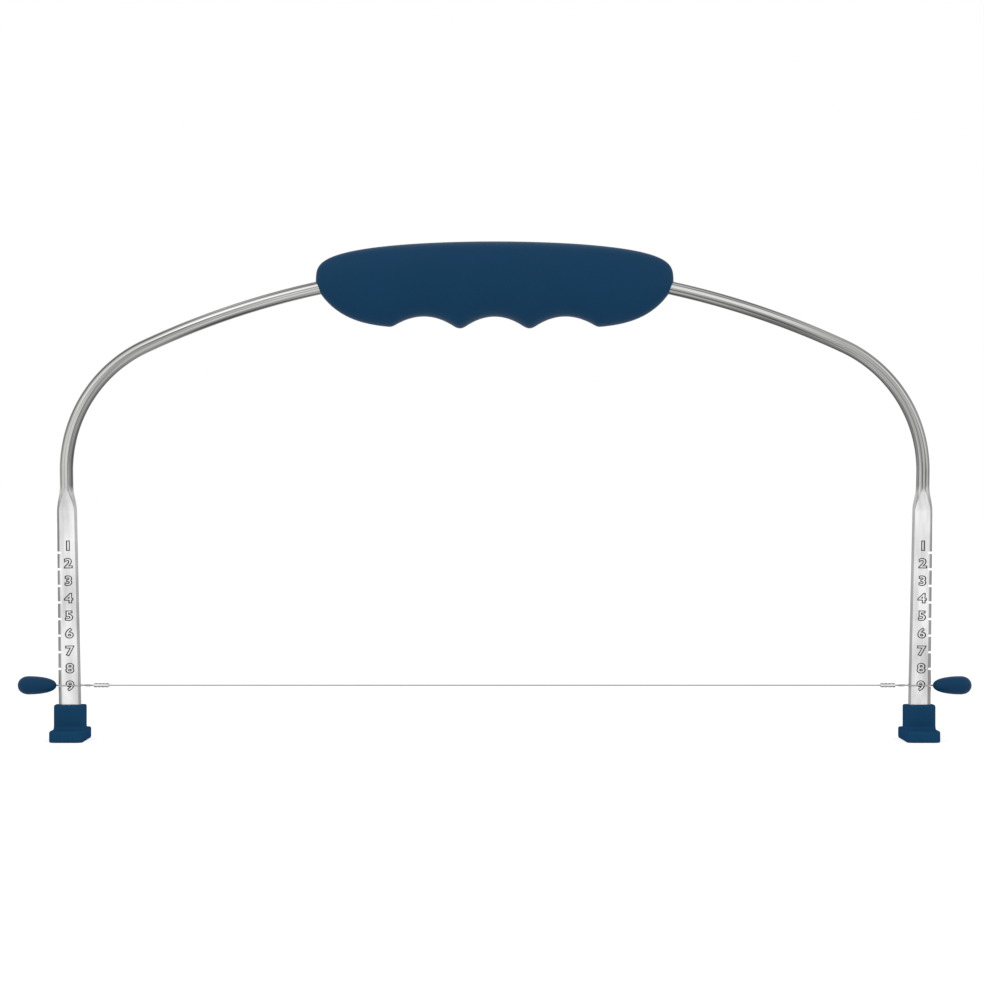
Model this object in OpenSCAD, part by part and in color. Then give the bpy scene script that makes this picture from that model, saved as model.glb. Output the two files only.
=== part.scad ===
// Cake leveler: a taut cutting wire held in a bent steel bow with notched legs.
// Millimetres. X runs along the wire, Y from front to back and Z up.
// The origin lies on the table, midway between the two feet.

/* [Steel bow] */
// Diameter of the steel rod
rod_d = 5; // [4.4:0.1:5.6]
// Height of the rod's centre line above the table, at the middle of the bow
bow_height = 176.2; // [172:0.2:186]
// Radius of the long bend that runs through the handle
bow_r = 310; // [290:2:340]
// Radius of the two shoulder bends
shoulder_r = 51; // [44:1:56]
// Distance between the two legs' centre lines where the shoulders end
leg_span = 320.4; // [306:1:334]

/* [Flat legs] */
// Lean of each leg towards the other, going down, in degrees
leg_lean = 0.9; // [0:0.1:1.4]
// Height at which the pressed leg becomes fully flat
flat_top = 85.8; // [83:0.2:89]
// Length of the neck between the round rod and the flat leg
neck_len = 9; // [6:0.5:11]
// Width of the flat leg at its upper end
leg_top_w = 7.4; // [6.6:0.1:8]
// Width of the flat leg at its lower end
leg_end_w = 8.5; // [8:0.1:9.2]
// Thickness of the flat leg
leg_t = 2.5; // [2:0.1:3]
// Radius of the flat leg's long edges
leg_edge_r = 0.9; // [0.6:0.05:1]

/* [Height notches] */
// Number of notches on each leg
notch_count = 9; // [2:1:9]
// Distance from one notch to the next
notch_pitch = 6.2; // [5:0.1:6.8]
// Height of the lowest notch above the table
notch_low = 20.5; // [18:0.1:24]
// Width of a notch
notch_w = 0.9; // [0.8:0.05:1.3]
// Depth of the lowest notch
notch_depth = 1.15; // [1:0.05:1.5]

/* [Cutting wire] */
// Diameter of the cutting wire
wire_d = 0.5; // [0.4:0.05:0.6]
// Gap between a wire strand and the leg's flat face
strand_gap = 0.05; // [0.03:0.01:0.15]
// Length of a crimp sleeve
sleeve_len = 5.6; // [4:0.2:8]
// Wall of a crimp sleeve around its two bores
sleeve_wall = 0.5; // [0.3:0.05:0.6]
// Distance between the leg's inner edge and the crimp sleeve
sleeve_gap = 4.9; // [3:0.1:7]
// Length of the wire's cut end beyond the crimp sleeve
tail_len = 0.7; // [0.3:0.1:2]

/* [Wire pulls] */
// Length of a pull
pull_len = 14.4; // [11:0.2:18]
// Largest diameter of a pull
pull_d = 6.9; // [5:0.1:8]
// Gap between the leg's outer edge and the pull's tip
pull_gap = 0.9; // [0.7:0.05:1.5]
// Depth of the loop's eye inside the pull
eye_depth = 6; // [3:0.2:8]

/* [Feet] */
// Width of a foot's socket, along the wire
cap_w = 11.6; // [11.2:0.1:14]
// Thickness of a foot's socket, from front to back
cap_t = 7.6; // [6:0.1:10]
// Height of a foot
cap_h = 13.3; // [12:0.1:16]
// Rubber left under the leg's end
cap_floor = 3; // [2:0.1:4]
// Width of a foot's base, along the wire
base_w = 12.6; // [12:0.1:16]
// Length of a foot's base, from front to back
base_len = 25; // [18:0.5:34]
// Height of a foot's base
base_h = 4.2; // [3:0.1:5.5]
// Radius of the base's corners, seen from above
base_corner_r = 2.4; // [1.6:0.1:3]
// Radius of a foot's rounded edges
foot_edge_r = 0.8; // [0.4:0.1:1]
// Radius of the hollow between a foot's socket and its base, in front and behind
foot_fillet_r = 1.6; // [0.6:0.1:2.4]

/* [Handle] */
// Length of the handle
grip_len = 133.8; // [124:1:144]
// Height of the handle's top above the rod's centre line, at the middle
grip_above = 10.3; // [9.6:0.1:12]
// Depth of the finger ridges below the rod's centre line, at the middle
grip_below = 22.2; // [20:0.2:26]
// Depth of the handle's two noses below the rod's centre line, at the middle
nose_drop = 5.9; // [5:0.1:6.6]
// Thickness of the handle, from front to back
grip_t = 19.4; // [17:0.2:24]
// Wall of the moulded shells
wall = 2.2; // [1.6:0.1:2.6]
// Distance of the inner finger ridges from the middle
inner_ridge = 13; // [11.5:0.5:15]
// Distance of the outer finger ridges from the middle
outer_ridge = 39.6; // [36:0.5:44]
// Depth of the finger grooves between the ridges
groove_depth = 4.4; // [2:0.1:5]

/* [Inside the handle] */
// Thickness of the ribs that saddle the rod
rib_t = 1.8; // [1.2:0.1:3]
// Distance of the outermost ribs from the middle
rib_reach = 52; // [48:1:55]
// Diameter of the pegs that join the shells
peg_d = 2.4; // [1.8:0.1:2.8]
// Length of a peg beyond the parting plane
peg_len = 4; // [2.5:0.1:5]
// Wall of the bosses around the pegs
boss_wall = 1.2; // [0.9:0.1:1.5]
// Depth of the lower pegs below the rod's centre line, at the middle
peg_drop = 13; // [10:0.2:14]

/* [Fits] */
// Gap all round the rod in its saddles
rod_fit = 0.05; // [0.02:0.01:0.1]
// Gap all round a peg in its socket
peg_fit = 0.05; // [0.02:0.01:0.1]
// Gap between a leg and its foot's socket
foot_fit = 0.08; // [0.03:0.01:0.15]
// Gap between a wire strand and the bore that it lies in
wire_fit = 0.04; // [0.02:0.01:0.08]

/* [Hidden] */

steel = [0.78, 0.78, 0.77];
bright_steel = [0.86, 0.86, 0.85];
blue_plastic = [0.10, 0.24, 0.35];

// The bow is one long arc, then a shoulder arc that ends in the leaning leg.
// Each stretch of rod is a hair thinner than the one above it and starts a little inside it.
rod_r = rod_d / 2;
hair = 0.02;
lap = 0.5;
leg_x = leg_span / 2;
bow_angle = asin((leg_x - shoulder_r) / (bow_r - shoulder_r));
bow_centre_z = bow_height - bow_r;
shoulder_centre_x = leg_x - shoulder_r;
shoulder_centre_z = bow_centre_z + (bow_r - shoulder_r) * cos(bow_angle);
bend_end_x = shoulder_centre_x + shoulder_r * cos(leg_lean);
bend_end_z = shoulder_centre_z - shoulder_r * sin(leg_lean);

// Height of the bow's centre line at a distance x from the middle.
function bow_z(x) = bow_centre_z + sqrt(bow_r * bow_r - x * x);

// Distances down the leg from the end of the shoulder bend.
function down_leg(z) = (bend_end_z - z) / cos(leg_lean);
neck_end = down_leg(flat_top);
neck_start = neck_end - neck_len;
leg_end = down_leg(cap_floor);

// The leg's middle, half its width and its two edges at height z.
function leg_middle(z) = bend_end_x - (bend_end_z - z) * tan(leg_lean);
function leg_half_w(z) =
    (leg_top_w + (leg_end_w - leg_top_w) * (flat_top - z) / (flat_top - cap_floor)) / 2;
function leg_outer(z) = leg_middle(z) + leg_half_w(z);
function leg_inner(z) = leg_middle(z) - leg_half_w(z);

// The notches' bottoms stand in one upright line, so the wire is as taut in each.
notch_x = leg_outer(notch_low) - notch_depth;

// The wire's strands pass the leg in front and behind, and meet in the pull.
wire_z = notch_low;
strand_y = leg_t / 2 + strand_gap + wire_d / 2;
pair_y = wire_d / 2 + wire_fit / 2;
sleeve_end = leg_inner(wire_z) - sleeve_gap;
sleeve_start = sleeve_end - sleeve_len;
bore_step = wire_d + 2 * wire_fit + 0.1;
pull_x = leg_outer(wire_z) + pull_gap;
eye_x = pull_x + eye_depth;
eye_bore_r = pair_y + wire_d / 2 + wire_fit;
swage_step = sleeve_len / 4;

// Each foot is centred under its leg.
foot_x = leg_middle(cap_h / 2);

// The handle's outline, around the two noses' height.
half_grip = grip_len / 2;
nose_z = bow_height - nose_drop;
top_rise = grip_above + nose_drop;
ridge_drop = grip_below - nose_drop;
ridges = [-outer_ridge, -inner_ridge, inner_ridge, outer_ridge];
ridge_rounding = 0.1;
groove_steps = 10;
cavity_steps = 5;

// Pegs sit behind the four finger ridges and above the rod.
boss_r = peg_d / 2 + boss_wall;
upper_peg_x = (inner_ridge + outer_ridge) / 2;
upper_peg_z = bow_z(upper_peg_x) + rod_r + rod_fit + boss_r + 0.2;
lower_peg_z = bow_height - peg_drop;
peg_places = [
    for (side = [-1, 1])
        each [
            [side * inner_ridge, lower_peg_z],
            [side * outer_ridge, lower_peg_z],
            [side * upper_peg_x, upper_peg_z]
        ]
];

// A soft step from 0 to 1.
function ease(t) = (1 - cos(180 * t)) / 2;

// Points of a rectangle of half sizes a and b with corners of radius r, at height z.
corner_steps = 6;
function round_rect(a, b, r, z) = [
    for (corner = [0:3])
        for (i = [0:corner_steps - 1])
            let (
                q = 90 * corner + 90 * (i + 0.5) / corner_steps,
                sx = corner == 0 || corner == 3 ? 1 : -1,
                sy = corner < 2 ? 1 : -1
            )
            [sx * (a - r) + r * cos(q), sy * (b - r) + r * sin(q), z]
];

// A closed skin over rings that all have the same number of points, each ring
// running anticlockwise as seen from the end of the loft.
module loft(rings) {
    n = len(rings[0]);
    last = len(rings) - 1;
    points = [for (ring = rings) each ring];
    sides = [
        for (k = [0:last - 1])
            for (i = [0:n - 1])
                let (a = k * n + i, b = k * n + (i + 1) % n, c = b + n, d = a + n)
                each [[a, c, b], [a, d, c]]
    ];
    start = [for (i = [1:n - 2]) [0, i, i + 1]];
    end = [for (i = [1:n - 2]) [last * n, last * n + i + 1, last * n + i]];
    polyhedron(points = points, faces = concat(sides, start, end), convexity = 6);
}

// A round tube of diameter d along a path that is never upright.
module tube(path, d, sides = 10) {
    last = len(path) - 1;
    rings = [
        for (k = [0:last])
            let (
                ahead = path[min(k + 1, last)] - path[max(k - 1, 0)],
                along = ahead / norm(ahead),
                across = cross([0, 0, 1], along),
                u = across / norm(across),
                v = cross(along, u)
            )
            [
                for (i = [0:sides - 1])
                    let (q = 360 * i / sides)
                    path[k] + d / 2 * (cos(q) * u + sin(q) * v)
            ]
    ];
    loft(rings);
}

// Section of the pressed leg, a distance s below the shoulder bend.
function leg_section(s, spare = 0) =
    let (
        press = min(1, max(0, (s - neck_start) / neck_len)),
        taper = max(0, (s - neck_end) / (leg_end - neck_end)),
        flat_w = leg_top_w + (leg_end_w - leg_top_w) * taper,
        neck_r = rod_r - 2 * hair,
        a = neck_r + (flat_w / 2 - neck_r) * ease(press),
        b = neck_r + (leg_t / 2 - neck_r) * ease(press),
        r = neck_r + (leg_edge_r - neck_r) * pow(press, 0.7)
    )
    round_rect(a + spare, b + spare, r + spare, -s);

module leg_axis() {
    translate([bend_end_x, 0, bend_end_z])
        rotate([0, leg_lean, 0])
            children();
}

// An arc of round bar in the bow's plane, from one angle to another, with 0 along X.
module bend(centre_x, centre_z, r, from, to, bar_r) {
    translate([centre_x, 0, centre_z])
        rotate([90, 0, 0])
            rotate_extrude(angle = to - from, start = from, $fn = 180)
                translate([r, 0])
                    circle(r = bar_r, $fn = 48);
}

module notches() {
    reach = leg_end_w;
    for (i = [0:notch_count - 1])
        translate([notch_x + notch_w / 2, 0, notch_low + i * notch_pitch]) {
            rotate([90, 0, 0])
                cylinder(d = notch_w, h = 2 * leg_t, center = true, $fn = 32);
            translate([0, -leg_t, -notch_w / 2])
                cube([reach, 2 * leg_t, notch_w]);
        }
}

// The shoulder bend, the pressed neck and the notched leg of the bow's right side.
module bow_side() {
    neck_steps = 10;
    bend(
        shoulder_centre_x, shoulder_centre_z, shoulder_r,
        -leg_lean, 90 - bow_angle + lap / shoulder_r * 180 / PI, rod_r - hair
    );
    difference() {
        leg_axis()
            loft([
                leg_section(leg_end),
                for (i = [neck_steps:-1:0]) leg_section(neck_start + neck_len * i / neck_steps),
                leg_section(-lap)
            ]);
        notches();
    }
}

module frame_rod() {
    color(steel) {
        bend(0, bow_centre_z, bow_r, 90 - bow_angle, 90 + bow_angle, rod_r);
        bow_side();
        mirror([1, 0, 0]) bow_side();
    }
}

// Half sizes of the handle at a place x, moved inwards by the given inset.
function grip_share(x, inset) = min(0.9995, abs(x) / (half_grip - inset));
function grip_top(x, inset) =
    nose_z + (top_rise - inset) * pow(1 - pow(grip_share(x, inset), 2), 1 / 4);
function grip_bottom(x, inset) =
    nose_z - (ridge_drop - inset) * pow(1 - pow(grip_share(x, inset), 6), 1 / 1.2) + groove(x);
function grip_half_t(x, inset) =
    (grip_t / 2 - inset) * pow(1 - pow(grip_share(x, inset), 2.5), 1 / 2.5);

// The lesser of a and 1, with the corner between them rounded.
function soft_least(a, rounding) =
    let (h = min(1, max(0, (1 + 2 * rounding - a) / (4 * rounding))))
    a * h + 1 - h - 2 * rounding * h * (1 - h);

// Rise of the finger grooves: three shallow arches between narrow rounded ridges.
function in_groove(x, from, to) =
    let (share = min(1, abs(2 * x - from - to) / (to - from)))
    groove_depth * (1 - soft_least((1 + 2 * ridge_rounding) * share * share, ridge_rounding));
function groove(x) =
    in_groove(x, ridges[0], ridges[1]) + in_groove(x, ridges[1], ridges[2]) + in_groove(x, ridges[2], ridges[3]);

// Places along the handle, closest together at the noses and at the finger ridges.
function grip_places(inset, steps) =
    let (marks = [-(half_grip - inset), each ridges, half_grip - inset])
    [
        for (k = [0:len(marks) - 2])
            for (i = [0:steps - 1])
                marks[k] + (marks[k + 1] - marks[k]) * ease(i / steps),
        half_grip - inset
    ];

// Front half of the handle's form. Past the parting plane it goes on by the given length.
module grip_half(inset, steps, arc_steps, past = 0) {
    squareness = 2 / 2.3;
    rings = [
        for (x = grip_places(inset, steps))
            let (
                top = grip_top(x, inset),
                bottom = grip_bottom(x, inset),
                t = grip_half_t(x, inset),
                mid = nose_z + groove(x) / 2
            )
            [
                for (i = [0:arc_steps])
                    let (
                        q = 90 - 180 * i / arc_steps,
                        rise = q > 0 ? top - mid : mid - bottom
                    )
                    [
                        x,
                        -t * pow(abs(cos(q)), squareness),
                        mid + rise * sign(sin(q)) * pow(abs(sin(q)), squareness)
                    ],
                if (past > 0) each [[x, past, bottom], [x, past, top]]
            ]
    ];
    loft(rings);
}

module rod_channel() {
    bend(0, bow_centre_z, bow_r, 90 - bow_angle, 90 + bow_angle, rod_r + rod_fit);
}

// Ribs across the shell and bosses behind the pegs, ending inside the shell's wall.
module shell_inside() {
    for (k = [-2:2])
        translate([k * rib_reach / 2 - rib_t / 2, -grip_t, nose_z - ridge_drop])
            cube([rib_t, grip_t, top_rise + ridge_drop]);
    for (place = peg_places)
        translate([place[0], 0, place[1]])
            rotate([90, 0, 0])
                cylinder(r = boss_r, h = grip_t, $fn = 48);
}

// One moulded half of the handle, as the front one lies.
module shell() {
    difference() {
        grip_half(0, groove_steps, 12);
        grip_half(wall, cavity_steps, 8, past = 1);
    }
    intersection() {
        grip_half(wall / 2, cavity_steps, 8);
        shell_inside();
    }
}

module peg_holes(r, depth) {
    for (place = peg_places)
        translate([place[0], -depth, place[1]])
            rotate([-90, 0, 0])
                cylinder(r = r, h = depth + 1, $fn = 48);
}

module handle_front_shell() {
    color(blue_plastic) {
        difference() {
            shell();
            rod_channel();
        }
        for (place = peg_places)
            translate([place[0], -wall, place[1]])
                rotate([-90, 0, 0])
                    cylinder(d = peg_d, h = wall + peg_len, $fn = 48);
    }
}

module handle_rear_shell() {
    color(blue_plastic)
        mirror([0, 1, 0])
            difference() {
                shell();
                rod_channel();
                peg_holes(peg_d / 2 + peg_fit, peg_len + 0.4);
            }
}

// Rings of a block with rounded upper and lower edges.
function block_rings(a, b, r, low, high, low_edge, high_edge) = [
    for (q = [0:45:90])
        let (inset = low_edge * (1 - sin(q)))
        round_rect(a - inset, b - inset, r - inset, low + low_edge * (1 - cos(q))),
    for (q = [90:-45:0])
        let (inset = high_edge * (1 - sin(q)))
        round_rect(a - inset, b - inset, r - inset, high - high_edge * (1 - cos(q)))
];

// Rings of a foot's socket: out of the base, up a hollow in front and behind, to rounded upper edges.
function socket_rings(r) = concat(
    [round_rect(cap_w / 2, cap_t / 2 + foot_fillet_r, r, base_h / 2)],
    [
        for (q = [0:22.5:90])
            let (flare = foot_fillet_r * (1 - sin(q)), rise = foot_fillet_r * (1 - cos(q)))
            round_rect(cap_w / 2, cap_t / 2 + flare, r, base_h - hair + rise)
    ],
    [
        for (q = [90:-45:0])
            let (inset = foot_edge_r * (1 - sin(q)))
            round_rect(cap_w / 2 - inset, cap_t / 2 - inset, r - inset, cap_h - foot_edge_r * (1 - cos(q)))
    ]
);

module foot() {
    socket_r = 1.6;
    difference() {
        union() {
            translate([foot_x, 0, 0])
                loft(block_rings(base_w / 2, base_len / 2, base_corner_r, 0, base_h, foot_edge_r, foot_edge_r));
            translate([foot_x, 0, 0])
                loft(socket_rings(socket_r));
        }
        leg_axis()
            loft([leg_section(leg_end, foot_fit), leg_section(down_leg(cap_h + 1), foot_fit)]);
    }
}

module right_foot() {
    color(blue_plastic) foot();
}

module left_foot() {
    color(blue_plastic) mirror([1, 0, 0]) foot();
}

module cutting_wire() {
    color(bright_steel)
        translate([-sleeve_end, 0, wire_z])
            rotate([0, 90, 0])
                cylinder(d = wire_d, h = 2 * sleeve_end, $fn = 24);
}

// A soft S-shaped stretch of the wire's path from one point to another.
function sway(from, to, steps = 6) = [
    for (i = [0:steps])
        let (t = i / steps)
        [from[0] + (to[0] - from[0]) * t, from[1] + (to[1] - from[1]) * ease(t), from[2] + (to[2] - from[2]) * ease(t)]
];

// The wire's end: past the leg in front, round the eye in the pull, back behind and into the sleeve.
module wire_loop() {
    lead = 0.2;
    beside_leg = leg_inner(wire_z) - lead;
    front = concat(
        sway([sleeve_end, 0, wire_z], [beside_leg, -strand_y, wire_z]),
        sway([notch_x, -strand_y, wire_z], [pull_x + lead, -pair_y, wire_z])
    );
    eye = [for (q = [-90:30:90]) [eye_x + pair_y * cos(q), pair_y * sin(q), wire_z]];
    back = concat(
        sway([pull_x + lead, pair_y, wire_z], [notch_x, strand_y, wire_z]),
        sway([beside_leg, strand_y, wire_z], [sleeve_end, bore_step, wire_z]),
        [[sleeve_start - tail_len, bore_step, wire_z]]
    );
    tube(concat(front, eye, back), wire_d);
}

module right_wire_loop() {
    color(bright_steel) wire_loop();
}

module left_wire_loop() {
    color(bright_steel) mirror([1, 0, 0]) wire_loop();
}

// An oval sleeve with one bore for the wire and one behind it for its tail, swaged flat in three places.
module crimp() {
    bore_r = wire_d / 2 + wire_fit;
    outer_r = bore_r + sleeve_wall;
    swage_depth = sleeve_wall / 3;
    translate([sleeve_start, 0, wire_z])
        rotate([0, 90, 0])
            difference() {
                linear_extrude(sleeve_len)
                    union() {
                        circle(r = outer_r, $fn = 48);
                        translate([0, bore_step]) circle(r = outer_r, $fn = 48);
                        translate([-outer_r, 0]) square([2 * outer_r, bore_step]);
                    }
                for (behind = [0, bore_step])
                    translate([0, behind, -1])
                        cylinder(r = bore_r, h = sleeve_len + 2, $fn = 48);
                for (k = [1:3])
                    for (side = [-1, 1])
                        translate([side * (outer_r + swage_step / 2 - swage_depth), bore_step / 2, k * swage_step])
                            rotate([90, 0, 0])
                                cylinder(d = swage_step, h = 4 * outer_r, center = true, $fn = 32);
            }
}

module right_crimp() {
    color(steel) crimp();
}

module left_crimp() {
    color(steel) mirror([1, 0, 0]) crimp();
}

// A teardrop turned about the wire, with a blind bore for the loop's eye.
module pull() {
    belly = 0.71 * pull_len;
    butt = pull_len - belly;
    steps = 10;
    outline = [
        for (i = [0:steps])
            let (u = pow(i / steps, 1.5))
            [pull_d / 2 * pow(1 - pow(1 - u, 2), 0.4), belly * u],
        for (i = [1:steps])
            let (q = 90 * (1 - i / steps))
            [pull_d / 2 * pow(sin(q), 2 / 2.15), belly + butt * pow(cos(q), 2 / 2.15)]
    ];
    translate([pull_x, 0, wire_z])
        rotate([0, 90, 0])
            difference() {
                rotate_extrude($fn = 64) polygon(outline);
                translate([0, 0, -1])
                    cylinder(r = eye_bore_r, h = eye_depth + eye_bore_r + 1, $fn = 48);
            }
}

module right_pull() {
    color(blue_plastic) pull();
}

module left_pull() {
    color(blue_plastic) mirror([1, 0, 0]) pull();
}

frame_rod();
handle_front_shell();
handle_rear_shell();
left_foot();
right_foot();
cutting_wire();
left_crimp();
right_crimp();
left_wire_loop();
right_wire_loop();
left_pull();
right_pull();
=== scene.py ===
import math

import bpy
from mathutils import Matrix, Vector


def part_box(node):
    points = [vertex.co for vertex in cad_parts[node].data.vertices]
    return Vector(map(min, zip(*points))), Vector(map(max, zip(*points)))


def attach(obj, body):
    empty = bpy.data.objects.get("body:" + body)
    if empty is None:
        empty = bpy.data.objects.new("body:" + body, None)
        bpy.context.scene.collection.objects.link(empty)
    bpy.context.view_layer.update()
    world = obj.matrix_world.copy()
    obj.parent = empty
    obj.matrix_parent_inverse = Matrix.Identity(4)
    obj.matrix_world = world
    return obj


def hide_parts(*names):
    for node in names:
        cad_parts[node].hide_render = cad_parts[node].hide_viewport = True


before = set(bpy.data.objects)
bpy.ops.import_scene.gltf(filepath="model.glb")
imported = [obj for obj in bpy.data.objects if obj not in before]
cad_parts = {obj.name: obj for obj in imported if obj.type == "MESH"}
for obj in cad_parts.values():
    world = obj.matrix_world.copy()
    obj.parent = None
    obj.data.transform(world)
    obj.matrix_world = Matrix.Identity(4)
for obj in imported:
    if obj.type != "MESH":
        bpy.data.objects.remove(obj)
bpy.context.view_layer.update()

scene = bpy.context.scene


# Camera: level and straight on, about a metre in front of the tool

cameraSettings = {
    "place": (-0.001, -1.0, 0.0928),
    "lens": 97.8,  # millimetres
    "sensor": 36,  # millimetres, for a square picture
    "clipStart": 0.01,
}


def addCamera(settings):
    data = bpy.data.cameras.new("camera")
    data.lens = settings["lens"]
    data.sensor_width = settings["sensor"]
    data.clip_start = settings["clipStart"]
    camera = bpy.data.objects.new("camera", data)
    camera.location = settings["place"]
    camera.rotation_euler = (math.radians(90), 0, 0)
    scene.collection.objects.link(camera)
    scene.camera = camera


addCamera(cameraSettings)
print("camera placed")


# Small helpers for writing formulas as geometry nodes

tiny = 0.000001  # metres
nearlyOne = 0.9999


class Field:  # a number in a node tree, which plain maths turns into more nodes
    def __init__(self, tree, socket):
        self.tree = tree
        self.socket = socket

    def __add__(self, other):
        return calc(self.tree, "ADD", self, other)

    def __radd__(self, other):
        return calc(self.tree, "ADD", other, self)

    def __sub__(self, other):
        return calc(self.tree, "SUBTRACT", self, other)

    def __rsub__(self, other):
        return calc(self.tree, "SUBTRACT", other, self)

    def __mul__(self, other):
        return calc(self.tree, "MULTIPLY", self, other)

    def __rmul__(self, other):
        return calc(self.tree, "MULTIPLY", other, self)

    def __truediv__(self, other):
        return calc(self.tree, "DIVIDE", self, other)

    def __rtruediv__(self, other):
        return calc(self.tree, "DIVIDE", other, self)

    def __pow__(self, other):
        return calc(self.tree, "POWER", self, other)

    def __neg__(self):
        return calc(self.tree, "MULTIPLY", self, -1)


def plug(tree, value, socket):
    source = value.socket if isinstance(value, Field) else value
    if isinstance(source, bpy.types.NodeSocket):
        tree.links.new(source, socket)
    else:
        socket.default_value = source


def calc(tree, operation, *values):
    node = tree.nodes.new("ShaderNodeMath")
    node.operation = operation
    for value, socket in zip(values, node.inputs):
        plug(tree, value, socket)
    return Field(tree, node.outputs[0])


def size(value):
    return calc(value.tree, "ABSOLUTE", value)


def sine(angle):  # of a field or of a plain number
    return calc(angle.tree, "SINE", angle) if isinstance(angle, Field) else math.sin(angle)


def cosine(angle):
    return calc(angle.tree, "COSINE", angle) if isinstance(angle, Field) else math.cos(angle)


def arcSine(value):
    return calc(value.tree, "ARCSINE", value) if isinstance(value, Field) else math.asin(value)


def signOf(value):
    return calc(value.tree, "SIGN", value)


def least(first, second):
    return calc(first.tree, "MINIMUM", first, second)


def most(first, second):
    return calc(first.tree, "MAXIMUM", first, second)


def between(value, low, high):
    return most(least(value, high), low)


def above(value, limit):  # 1 where the value is above the limit, or else 0
    return calc(value.tree, "GREATER_THAN", value, limit)


def turnOf(across, up):  # angle from the up direction towards the across direction
    return calc(across.tree, "ARCTAN2", across, up)


def distance(across, up):
    return calc(across.tree, "SQRT", across * across + up * up)


def easeIn(share):  # a soft step from 0 to 1
    return 0.5 - cosine(share * math.pi) / 2


def addNode(tree, kind, plugs=None, **choices):
    node = tree.nodes.new(kind)
    for name, choice in choices.items():
        setattr(node, name, choice)
    for name, value in (plugs or {}).items():
        plug(tree, value, node.inputs[name])
    return node


def positionFields(tree):
    place = addNode(tree, "GeometryNodeInputPosition")
    parts = addNode(tree, "ShaderNodeSeparateXYZ", {0: place.outputs["Position"]})
    return [Field(tree, socket) for socket in parts.outputs]


def vector(tree, x, y, z):
    return addNode(tree, "ShaderNodeCombineXYZ", {0: x, 1: y, 2: z}).outputs[0]


def movedTo(tree, geometry, x, y, z):
    place = vector(tree, x, y, z)
    return addNode(tree, "GeometryNodeSetPosition", {"Geometry": geometry, "Position": place}).outputs[0]


def cylinder(tree, radius, depth, points=32, rings=1):
    return addNode(
        tree, "GeometryNodeMeshCylinder",
        {"Vertices": points, "Side Segments": rings, "Radius": radius, "Depth": depth},
        fill_type="NGON",
    ).outputs["Mesh"]


def tubeAlong(tree, curve, radius, points):
    circle = addNode(
        tree, "GeometryNodeCurvePrimitiveCircle", {"Resolution": points, "Radius": radius}, mode="RADIUS")
    return addNode(
        tree, "GeometryNodeCurveToMesh",
        {"Curve": curve, "Profile Curve": circle.outputs[0], "Fill Caps": True},
    ).outputs[0]


def keepAttribute(tree, geometry, name, x, y, z, domain="POINT"):
    return addNode(
        tree, "GeometryNodeStoreNamedAttribute",
        {"Geometry": geometry, "Name": name, "Value": vector(tree, x, y, z)},
        data_type="FLOAT_VECTOR", domain=domain,
    ).outputs[0]


def cutAway(tree, solid, cutters):
    cut = addNode(
        tree, "GeometryNodeMeshBoolean", {"Mesh 1": solid}, operation="DIFFERENCE", solver="EXACT")
    for cutter in cutters:
        tree.links.new(cutter, cut.inputs["Mesh 2"])
    return cut.outputs["Mesh"]


def shifted(tree, geometry, shift=(0, 0, 0), turn=(0, 0, 0), scale=(1, 1, 1)):
    return addNode(
        tree, "GeometryNodeTransform",
        {"Geometry": geometry, "Translation": shift, "Rotation": turn, "Scale": scale},
    ).outputs[0]


def mirrored(tree, geometry):  # from the right side to the left
    flipped = shifted(tree, geometry, scale=(-1, 1, 1))
    return addNode(tree, "GeometryNodeFlipFaces", {0: flipped}).outputs[0]


def startTree(name, settings):  # a tree that takes the piece's own mesh, its settings and its material
    tree = bpy.data.node_groups.new(name, "GeometryNodeTree")
    kinds = {int: "NodeSocketInt", float: "NodeSocketFloat", str: "NodeSocketString"}
    tree.interface.new_socket("mesh", in_out="INPUT", socket_type="NodeSocketGeometry")
    for label, value in settings.items():
        tree.interface.new_socket(label, in_out="INPUT", socket_type=kinds[type(value)])
    tree.interface.new_socket("material", in_out="INPUT", socket_type="NodeSocketMaterial")
    tree.interface.new_socket("geometry", in_out="OUTPUT", socket_type="NodeSocketGeometry")
    given = tree.nodes.new("NodeGroupInput")
    return tree, {label: Field(tree, given.outputs[label]) for label in ["mesh", *settings, "material"]}


def endTree(tree, geometry, given):
    real = addNode(tree, "GeometryNodeRealizeInstances", {0: geometry}).outputs[0]
    painted = addNode(tree, "GeometryNodeSetMaterial", {"Geometry": real, "Material": given["material"]})
    addNode(tree, "NodeGroupOutput", {"geometry": painted.outputs[0]})


def keepResult(piece):  # the modifiers' result becomes the piece's own plain mesh
    depsgraph = bpy.context.evaluated_depsgraph_get()
    mesh = bpy.data.meshes.new_from_object(piece.evaluated_get(depsgraph), depsgraph=depsgraph)
    piece.modifiers.clear()
    piece.data = mesh


def smoothOff(piece, sharpAngle):  # smooth shading that keeps sharp edges sharp
    piece.data.shade_smooth()
    piece.data.set_sharp_from_angle(angle=math.radians(sharpAngle))


def keepFlats(piece):  # flat faces beside rounded edges keep their own normals
    normals = piece.modifiers.new("normals", "WEIGHTED_NORMAL")
    normals.keep_sharp = True
    keepResult(piece)


def newPiece(name, mesh):
    piece = bpy.data.objects.new(name, mesh)
    scene.collection.objects.link(piece)
    return piece


def grow(name, tree, settings, material, sharpAngle=35, mesh=None):
    piece = newPiece(name, mesh or bpy.data.meshes.new(name))
    modifier = piece.modifiers.new("shape", "NODES")
    modifier.node_group = tree
    values = {**settings, "material": material}
    for item in tree.interface.items_tree:
        if item.in_out == "INPUT" and item.name in values:
            modifier[item.identifier] = values[item.name]
    keepResult(piece)
    smoothOff(piece, sharpAngle)
    return piece


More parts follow.
